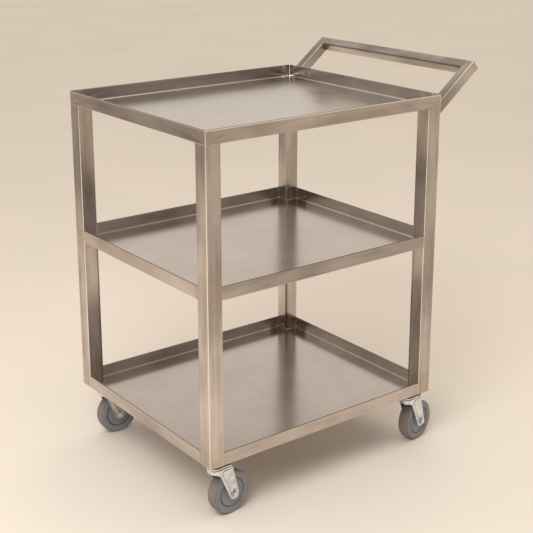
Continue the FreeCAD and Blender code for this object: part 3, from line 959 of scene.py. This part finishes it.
for corner in corners:
    place = corner_frame("leg_" + corner, corner)
    strip = bmesh.new()
    rows = []
    for inset, z in strip_rows:
        rows.append([strip.verts.new(place @ Vector((x, y, z))) for x, y in wrap_corner(inset)])
    loft(strip, rows, closed=False)
    for end in (0, -1):
        strip.faces.new([row[end] for row in rows])
    face_out(strip)
    paint(strip, weld=lambda point: 1.0)
    finish_edges(settle("leg_top_weld_" + corner, strip, [steel_z], "frame"))
print("groove filled at", round(leg_top_z / mm), "mm")

# %% [markdown]
# The castors are pressed steel, plated with bright zinc, on grey rubber wheels. Zinc is close to white
# and never even: it has soft patches and rubs through on edges, and its hollows get painted shade. The
# wheels are rubber moulded on a plastic core, almost the same grey, with a dark groove where they
# meet, deepened by painted shade. Rubber scatters light, so it gets a high roughness and a faint
# mottle, and the tread a warm tone of dust and painted bounce light from the floor.
# %% Plated metal and the other small finishes
zinc_bright = (0.92, 0.955, 0.985)
zinc_dull = (0.50, 0.525, 0.55)
zinc_shade = (0.04, 0.034, 0.028)
tread_dust_and_bounce = (0.225, 0.175, 0.13)
groove_shade_and_line = (0.03, 0.028, 0.026)
tyre_tones = ((0.215, 0.224, 0.243), (0.262, 0.268, 0.285))
core_tones = ((0.222, 0.23, 0.247), (0.262, 0.268, 0.283))


def plated_metal(name, bright, dull, roughness, shade_amount=0.7):
    """Metal with patchy plating, fine scratches and painted shade in its hollows."""
    material, shader, coords = start_finish(name)
    patch = cloud(coords, 70, 3.0)
    spangle = cloud(coords, 420)
    scratch = cloud(coords, (1100, 90, 90))
    colour = ramp(0.6 * patch + 0.4 * spangle, (0.32, dull), (0.66, bright))
    # The hollow value lays painted shade.
    colour = blend(painted(coords, "hollow") * (0.5 * patch + (shade_amount - 0.25)), colour, zinc_shade)
    rough = 0.22 * patch + 0.12 * scratch + (roughness - 0.17)
    normal = raised(2.0 * patch + scratch, 0.02 * mm)
    plug(shader, Base_Color=colour, Roughness=rough, Normal=normal, Metallic=1.0)
    return material


def dull_solid(name, first, second, roughness, grain, dusty=False):
    """Rubber or plastic: two close tones, a fine grain and, on a wheel, dust with painted bounce light and
    painted shade.
    """
    material, shader, coords = start_finish(name)
    mottle = cloud(coords, 45, 3.0)
    pores = cloud(coords, grain)
    colour = ramp(mottle, (0.3, first), (0.7, second))
    if dusty:
        # The tread gets dust with painted bounce light, the groove painted shade.
        colour = blend(painted(coords, "tread") * (0.5 * mottle + 0.45), colour, tread_dust_and_bounce)
        colour = blend(painted(coords, "hollow"), colour, groove_shade_and_line)
    rough = 0.16 * pores + (roughness - 0.08)
    plug(shader, Base_Color=colour, Roughness=rough, Normal=raised(pores, 0.05 * mm))
    return material


castor_zinc = plated_metal("castor_zinc_plate", zinc_bright, zinc_dull, 0.23)
bolt_zinc = plated_metal("axle_zinc_plate", (0.86, 0.85, 0.82), (0.68, 0.67, 0.64), 0.20)
# The screws are dark zinc as painted shade.
shaded_screw_zinc = plated_metal("screw_zinc_shaded", (0.36, 0.345, 0.32), (0.22, 0.21, 0.195), 0.34)
# Mill scale on the pads, made darker still as painted shade.
pad_scale_and_shade = plated_metal("pad_mill_scale_and_shade", (0.20, 0.185, 0.17), (0.11, 0.10, 0.09), 0.45, shade_amount=0.3)
bearing_steel = plated_metal("ball_polish", (0.80, 0.80, 0.80), (0.74, 0.74, 0.74), 0.12)
turned_steel = plated_metal("sleeve_turned", (0.66, 0.65, 0.64), (0.56, 0.55, 0.54), 0.28)
tyre_grey = dull_solid("tyre_grey_rubber", *tyre_tones, 0.62, 900, dusty=True)
core_grey = dull_solid("core_grey_plastic", *core_tones, 0.5, 1500, dusty=True)
bush_natural = dull_solid("bush_natural_nylon", (0.74, 0.72, 0.66), (0.80, 0.78, 0.73), 0.4, 1200)
print("finishes so far", len(bpy.data.materials))

# %% [markdown]
# The castor pads are thick plates under the four corners. Nobody looks there, so their beads are
# neither ground nor polished and keep the dark scale of the plate, darkened further by painted shade.
# %% Weld the castor pads
pad_corner = 5 * mm
pad_welds = bmesh.new()
for corner in corners:
    low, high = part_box("castor_pad_" + corner)
    half_pad = (high.x - low.x) / 2
    centre = Vector(((low.x + high.x) / 2, (low.y + high.y) / 2, high.z - 0.3 * mm))
    pad_loop = rounded_loop(half_pad, half_pad, pad_corner)
    lay_bead(pad_welds, pad_loop, seam_radius, (0, 0, -1), Matrix.Translation(centre), closed=True)
settle_beads("castor_pad_welds", pad_welds, pad_scale_and_shade)
print("pad half side", round(half_pad / mm, 1), "mm")

# %% [markdown]
# A castor is drawn once in its own frame: the swivel axis is upright at the origin, the wheel trails
# towards X, heights are above the floor. Each corner then gets a copy turned to the angle at which
# its CAD joints stand. The fork is one pressed sheet: a crown whose rim turns down, and two legs that
# grow out of the rim. Its outline in plan is straight beside the wheel and round in front.
# %% Sizes of the pressed fork
axle = Vector((33 * mm, 51 * mm))  # along the trail, and up
fork_half = 20.5 * mm
fork_gauge = 2.5 * mm
fork_roof = 123.5 * mm
fork_bend = 3 * mm
roof_tail_x = 30 * mm
roof_drop = 3.5 * mm
roof_slope_run = 9 * mm
crown_reach = 22 * mm
crown_power = 2.5
rim_foot = 111.5 * mm
leg_front_x = -7 * mm
leg_root = 107 * mm
rim_sweep = 9 * mm
nut_shade_reach = 11 * mm
eye_radius = 13.5 * mm
leg_columns = 26
leg_rows = 40
crown_columns = 14
roof_steps = 5
side_rows = 12
spine_start = -6 * mm

# The stiffening panel pressed into a leg: how far it stays from an edge, and over what run it rises.
press_height = 1.4 * mm
panel_overlap = 6 * mm
panel_front = (5 * mm, 4.5 * mm)
panel_rear = (2.2 * mm, 2.6 * mm)
panel_top = (1.5 * mm, 3 * mm)
panel_eye = (9.5 * mm, 4 * mm)

castor_places = {}
for corner in corners:
    swivel = joints["swivel_" + corner]["pos_m"]
    spin = joints["spin_" + corner]["axis"]
    turn = math.atan2(-spin[0], spin[1])
    castor_places[corner] = Matrix.Translation((swivel[0], swivel[1], 0)) @ Matrix.Rotation(turn, 4, "Z")
    print("castor", corner, "stands at", round(math.degrees(turn), 1), "degrees")


def touch_eye(root, side):
    """From a leg's root: the direction that just touches the round eye, and the angle where it does."""
    gap = axle - root
    line = (Matrix.Rotation(side * math.asin(eye_radius / gap.length), 2) @ gap).normalized()
    touch = Matrix.Rotation(side * math.pi / 2, 2) @ line
    return line, math.atan2(touch.y, touch.x)


front_root = Vector((leg_front_x, leg_root))
rear_root = Vector((roof_tail_x, fork_roof - roof_drop))
front_line, front_angle = touch_eye(front_root, -1)
rear_line, rear_angle = touch_eye(rear_root, 1)
if front_angle > 0:
    front_angle -= 2 * math.pi
meeting = [round(math.degrees(angle)) for angle in (front_angle, rear_angle)]
print("the leg's edges meet the eye at", meeting, "degrees")

# %% [markdown]
# A press draws the fork from one blank, so roof, bend and side are one surface. It is drawn in columns:
# each starts in the middle of the roof, goes over the bend and runs down a leg to the round eye of the
# axle, or down the rim of the crown. The panel pressed into each leg is what keeps thin sheet stiff.
# %% Draw the columns of a fork
def plan_half(x):
    """Half the width of the fork at a place along the trail, seen from above."""
    if x >= 0:
        return fork_half
    return fork_half * max(0.0, 1 - (-x / crown_reach) ** crown_power) ** (1 / crown_power)


def press_at(x, z):
    """How far the stiffening panel of a leg is pressed outwards."""
    spot = Vector((x, z))
    from_front = [abs((spot - front_root).cross(front_line))] if z < leg_root else []
    if z > leg_root - panel_overlap:
        from_front.append(x - leg_front_x)
    panel = 1.0
    for gap, (margin, run) in (
        (min(from_front), panel_front),
        (abs((spot - rear_root).cross(rear_line)), panel_rear),
        (fork_roof - fork_bend - z, panel_top),
        ((spot - axle).length, panel_eye),
    ):
        panel *= ease((gap - margin) / run)
    return panel


def bend_rows(bm, x, y, side):
    """Vertices from the middle of the roof, over the bend, to the top of the side."""
    slope_x = 0.0 if x >= 0 else fork_half / crown_reach * (-x / max(y, mm)) * (-x / crown_reach) ** 0.5
    inward = Vector((slope_x, -1)).normalized() if y > 0.3 * mm else Vector((1, 0))
    top = fork_roof - roof_drop * ease((x - roof_tail_x + roof_slope_run) / roof_slope_run)
    edge = Vector((x, y))
    spine = Vector((max(x, spine_start), 0))
    shares = spread(0, 1, roof_steps)[:-1]
    spots = [(spine.lerp(edge + inward * fork_bend, share), top) for share in shares]
    for angle in spread(0, math.pi / 2, bend_steps):
        spot = edge + inward * fork_bend * (1 - math.sin(angle))
        spots.append((spot, top - fork_bend * (1 - math.cos(angle))))
    return [bm.verts.new((spot.x, side * spot.y, z)) for spot, z in spots]


def leg_column(bm, share, side):
    """One column of a leg, from the roof down to the round eye. The share is 0 in front, 1 behind."""
    x = leg_front_x + (roof_tail_x - leg_front_x) * share
    made = bend_rows(bm, x, plan_half(x), side)

    def press(x, wide, z):
        made.append(bm.verts.new((x, side * (wide + press_height * press_at(x, z)), z)))

    for z in spread(made[-1].co.z, leg_root, side_rows)[1:]:
        rear_x = rear_root.x + max(0.0, rear_root.y - z) * rear_line.x / -rear_line.y
        x = leg_front_x + (rear_x - leg_front_x) * share
        press(x, plan_half(x), z)
    root = Vector((x, leg_root))
    angle = front_angle + (rear_angle - front_angle) * share
    foot = axle + Vector((math.cos(angle), math.sin(angle))) * eye_radius
    for row in range(1, leg_rows + 1):
        spot = root.lerp(foot, row / leg_rows)
        press(spot.x, max(plan_half(spot.x), plan_half(leg_front_x)), spot.y)
    return made


def rim_column(bm, share, side):
    """One column of the crown's rim. The share is 0 at the leg, 1 at the tip."""
    start = math.acos((-leg_front_x / crown_reach) ** (crown_power / 2))
    angle = start * (1 - share)
    x = -crown_reach * math.cos(angle) ** (2 / crown_power)
    y = fork_half * math.sin(angle) ** (2 / crown_power)
    made = bend_rows(bm, x, y, side)
    drop = (rim_foot - leg_root) * (1 - ease((leg_front_x - x) / rim_sweep)) ** 1.6
    heights = spread(made[-1].co.z, rim_foot - drop, side_rows)[1:]
    return made + [bm.verts.new((x, side * y, z)) for z in heights]


print("half widths at the wheel and at the front of a leg", plan_half(0.0), round(plan_half(leg_front_x), 4))

# %% [markdown]
# Neighbouring columns are joined into faces on both sides of the wheel, and where the two halves meet
# along the roof their points are merged. Painted shade lies round the nut and along the step of the
# panel. Thickness and the small rounding of the cut edges come last.
# %% Press the four forks
def axle_reach(point):
    """Distance of a point from the wheel's axis."""
    return math.hypot(point.x - axle.x, point.z - axle.y)


def fork_shade_at(point):
    """Painted shade round the nut and along the step of the pressed panel."""
    round_nut = 0.65 * (1 - axle_reach(point) / nut_shade_reach)
    if point.x < leg_front_x or abs(point.y) < fork_half - 2 * fork_bend:
        return round_nut
    share = press_at(point.x, point.z)
    return max(round_nut, 2.0 * share * (1 - share))


def fork_skin():
    """The outer skin of a fork."""
    bm = bmesh.new()
    for side in (-1, 1):
        columns = [rim_column(bm, step / crown_columns, side) for step in range(crown_columns, 0, -1)]
        columns += [leg_column(bm, step / leg_columns, side) for step in range(leg_columns + 1)]
        for near, far in zip(columns, columns[1:]):
            for row in range(min(len(near), len(far)) - 1):
                bm.faces.new([near[row], near[row + 1], far[row + 1], far[row]])
    bmesh.ops.remove_doubles(bm, verts=bm.verts, dist=0.02 * mm)
    bmesh.ops.dissolve_degenerate(bm, edges=bm.edges, dist=0.01 * mm)
    face_out(bm)
    highest = max(bm.faces, key=lambda face: face.calc_center_median().z)
    if highest.normal.z < 0:
        bmesh.ops.reverse_faces(bm, faces=bm.faces)
    # The hollow value is painted shade.
    paint(bm, hollow=fork_shade_at)
    return bm


for corner, place in castor_places.items():
    name, body, node = [start + corner for start in ("pressed_fork_", "castor_", "fork_")]
    fork = settle(name, fork_skin(), [castor_zinc], body, [node], place)
    finish_edges(fork, thickness=fork_gauge, rounding=0.4 * mm)
print("fork faces", len(fork.data.polygons))

# %% [markdown]
# Between fork and trolley sits a square plate with the ball race pressed into it. Only its edge and the
# rim of the race show: a bright line, and below it a dark one of painted shade on the race. The top
# of the plate carries painted shade too. The plate is swung round its middle like a turned part, only
# that its edge follows a rounded square.
# %% Press the castor plates
plate_low = 128.5 * mm
plate_high = 132 * mm
plate_corner = 8 * mm
race_reach = 20.5 * mm
race_lip = 124.5 * mm
race_bore = 14.5 * mm
round_segments = 96
edge_profile = [(1.5 * mm, plate_high), (0.2 * mm, plate_high - 0.2 * mm), (0.0, plate_high - 0.6 * mm)]
edge_profile += [(0.0, plate_low + 0.6 * mm), (0.2 * mm, plate_low + 0.2 * mm), (1.5 * mm, plate_low)]
race_profile = [(race_reach + 0.8 * mm, plate_low), (race_reach, plate_low - mm)]
race_profile += [(race_reach, race_lip + 0.4 * mm), (race_reach - 0.5 * mm, race_lip)]
race_profile += [(race_bore + mm, race_lip), (race_bore, race_lip + mm), (race_bore, plate_high)]


def turned(bm, profile_at, segments, place, closed=True):
    """Swing a profile of (radius, offset) points, given for each angle, round the Z axis of a place."""
    columns = []
    for angle in spread(0, 2 * math.pi, segments)[:-1]:
        across = Vector((math.cos(angle), math.sin(angle), 0))
        columns.append([])
        for radius, offset in profile_at(angle):
            columns[-1].append(bm.verts.new(place @ (across * radius + Vector((0, 0, offset)))))
    loft(bm, columns + columns[:1], closed)
    face_out(bm)
    return columns


def square_reach(half, corner, angle):
    """Distance from the middle to a square outline with round corners."""
    near, far = sorted((abs(math.cos(angle)), abs(math.sin(angle))))
    straight = half - corner
    if half * near / far <= straight:
        return half / far
    return straight * (near + far) + math.sqrt(corner ** 2 - (straight * (far - near)) ** 2)


for corner in corners:
    low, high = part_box("castor_plate_" + corner)
    half = (high.x - low.x) / 2
    middle = Vector(((low.x + high.x) / 2, (low.y + high.y) / 2, 0))

    def plate_profile(angle):
        edge = [(square_reach(half - inset, plate_corner - inset, angle), z) for inset, z in edge_profile]
        return edge + race_profile

    # Painted shade on the race and on the top of the plate.
    def race_shade_at(point):
        return (point - middle).xy.length < race_reach + 0.9 * mm or point.z > plate_high - 0.1 * mm

    bm = bmesh.new()
    turned(bm, plate_profile, round_segments, Matrix.Translation(middle))
    paint(bm, hollow=race_shade_at)
    node = "castor_plate_" + corner
    finish_edges(settle("race_plate_" + corner, bm, [castor_zinc], "frame", [node]))
print("plate half side", round(half / mm, 2), "mm")

# %% [markdown]
# The wheel is turned like a pot: a profile from the bore to the tread, swung round the axle. The tyre
# has round shoulders, a shallow step on its side and the fine seam of its mould round the tread. The
# core is dished, with a raised ring and a hub. The groove between tyre and core is V-shaped and deep,
# and painted shade darkens it. Dust and a painted warm bounce light from the floor lie on the tread
# only, and a thin darker line runs round the shoulder.
# %% Turn the wheels
lying_down = Matrix(((1, 0, 0, 0), (0, 0, 1, 0), (0, 1, 0, 0), (0, 0, 0, 1)))  # swaps Y and Z
axle_frame = Matrix.Translation((axle.x, 0, axle.y)) @ lying_down
groove_reach = 33.6 * mm
shoulder_reach = 49.7 * mm
dust_start = 48.5 * mm

# Half profiles in mm, each from the bore to the outside as (radius, offset).
tyre_profile = [(33.5, 4.0), (33.5, 10.6), (35.0, 13.6), (35.5, 14.3), (36.2, 14.6), (38.6, 14.65)]
tyre_profile += [(39.0, 15.0), (43.6, 15.0), (43.9, 14.8), (44.4, 14.8), (44.7, 15.0), (46.5, 15.0)]
for angle in spread(0, math.pi / 2, 6)[1:]:
    tyre_profile.append((46.5 + 4.5 * math.sin(angle), 10.5 + 4.5 * math.cos(angle)))
tyre_profile += [(50.96, 5.0), (50.9, 0.6), (51.0, 0.3)]
core_profile = [(8.6, 8.0), (8.6, 17.0), (8.9, 17.2), (12.4, 17.2), (12.9, 16.8), (13.2, 13.4)]
core_profile += [(13.9, 12.6), (15.0, 12.5), (20.6, 12.5), (21.2, 13.0), (22.8, 13.0), (23.4, 12.5)]
core_profile += [(29.4, 12.5), (30.2, 12.9), (30.5, 13.4), (31.0, 13.6), (32.3, 13.5), (32.8, 12.9)]
core_profile += [(33.4, 10.6)]


def groove_shade_and_shoulder_line_at(point):
    """Painted shade in the groove between tyre and core, and a thin darker line at the shoulder."""
    reach = axle_reach(point)
    return max(1 - abs(reach - groove_reach) / (1.2 * mm), 0.5 - abs(reach - shoulder_reach) / (1.6 * mm))


def tread_at(point):
    """Dust and painted bounce light on the part of the tyre that rolls."""
    return (axle_reach(point) - dust_start) / (1.5 * mm)


for corner, place in castor_places.items():
    for name, half_profile, finish, slot, node in (
        ("moulded_tyre_", tyre_profile, tyre_grey, "tyre_rubber", "tyre_"),
        ("dished_core_", core_profile, core_grey, "core_plastic", "wheel_core_"),
    ):
        bm = bmesh.new()
        profile = half_profile + [(radius, -offset) for radius, offset in reversed(half_profile)]
        profile = [(radius * mm, offset * mm) for radius, offset in profile]
        turned(bm, lambda angle: profile, round_segments, axle_frame)
        paint(bm, hollow=groove_shade_and_shoulder_line_at, tread=tread_at)
        piece = settle(name + corner, bm, [finish], "wheel_" + corner, [node + corner], place)
        finish_edges(piece)
print("core faces", len(piece.data.polygons))

# %% [markdown]
# A bolt runs through the fork, with a flanged nut on one side and a flanged head on the other. The
# six flats are what catches the light, so the profile is swung round with a reach that follows the
# flats, and its top corners are cut by the round chamfer that every real nut has.
# %% Fit the axle bolts
hexagon_half = 6.5 * mm
chamfer_reach = 0.95 * hexagon_half
flange_radius = 8.5 * mm
flange_foot = fork_half - 0.3 * mm
flange_face = 22.0 * mm
nut_face = 27.4 * mm
head_face = 27.2 * mm
bolt_tip = 29.0 * mm
bolt_radius = 4.0 * mm
hexagon_segments = 48
shaft_segments = 32


def flanged_hexagon(bm, side, face, bore):
    """A hexagon on a round flange. Gives back its columns, which end at the bore."""
    def profile_at(angle):
        flat = hexagon_half / math.cos((angle + math.pi / 6) % (math.pi / 3) - math.pi / 6)
        profile = [
            (bolt_radius, flange_foot),
            (flange_radius, flange_foot),
            (flange_radius, flange_face - 0.7 * mm),
            (flange_radius - 0.35 * mm, flange_face - 0.2 * mm),
            (flange_radius - mm, flange_face),
            (1.01 * flat, flange_face + 0.1 * mm),
            (flat, face - 0.62 * (flat - chamfer_reach)),
            (chamfer_reach, face),
            (bore + 0.5 * mm, face),
            (bore, face - 0.5 * mm),
        ]
        return [(radius, side * offset) for radius, offset in profile]

    return turned(bm, profile_at, hexagon_segments, axle_frame, closed=False)


shaft = [(hair, 10 * mm), (bolt_radius, 10 * mm), (bolt_radius, 0.6 * mm - bolt_tip)]
shaft += [(bolt_radius - 0.6 * mm, -bolt_tip), (hair, -bolt_tip)]
for corner, place in castor_places.items():
    nut = bmesh.new()
    flanged_hexagon(nut, -1, nut_face, bolt_radius)
    bolt = bmesh.new()
    columns = flanged_hexagon(bolt, 1, head_face, 1.5 * mm)
    bolt.faces.new([column[-1] for column in columns])
    turned(bolt, lambda angle: shaft, shaft_segments, axle_frame)
    for name, bm, node in (("axle_nut_turned_", nut, "axle_nut_"), ("axle_bolt_turned_", bolt, "axle_bolt_")):
        # Painted shade on the round flanges of nut and head.
        paint(bm, hollow=lambda point: 0.5 * (abs(point.y) < flange_face + 0.4 * mm))
        body = "castor_" + corner
        piece = settle(name + corner, bm, [bolt_zinc], body, [node + corner], place)
        finish_edges(piece, rounding=0.12 * mm, steps=1)
print("bolt tip to head", round((bolt_tip + head_face) / mm, 1), "mm")

# %% [markdown]
# The pieces that stay as they are in the CAD model get their finishes here: the channels under the
# trays, the castor pads, screws, rivets, balls, sleeves and bushes. Most of them are only seen from
# below or when a castor is taken apart, but a bare grey piece would show at once.
# %% Finish the pieces kept from the CAD model
kept_finishes = {
    "channel_steel": steel_lower,
    "pad_steel": pad_scale_and_shade,
    "kingpin_zinc": bolt_zinc,
    "screw_steel": shaded_screw_zinc,
    "ball_steel": bearing_steel,
    "sleeve_steel": turned_steel,
    "bush_plastic": bush_natural,
}
for node in frame["nodes"].values():
    for material_slot in node.material_slots:
        wanted = material_slot.material.name.split(".")[0]
        if wanted in kept_finishes:
            material_slot.material = kept_finishes[wanted]
print("finishes in use", len(bpy.data.materials))
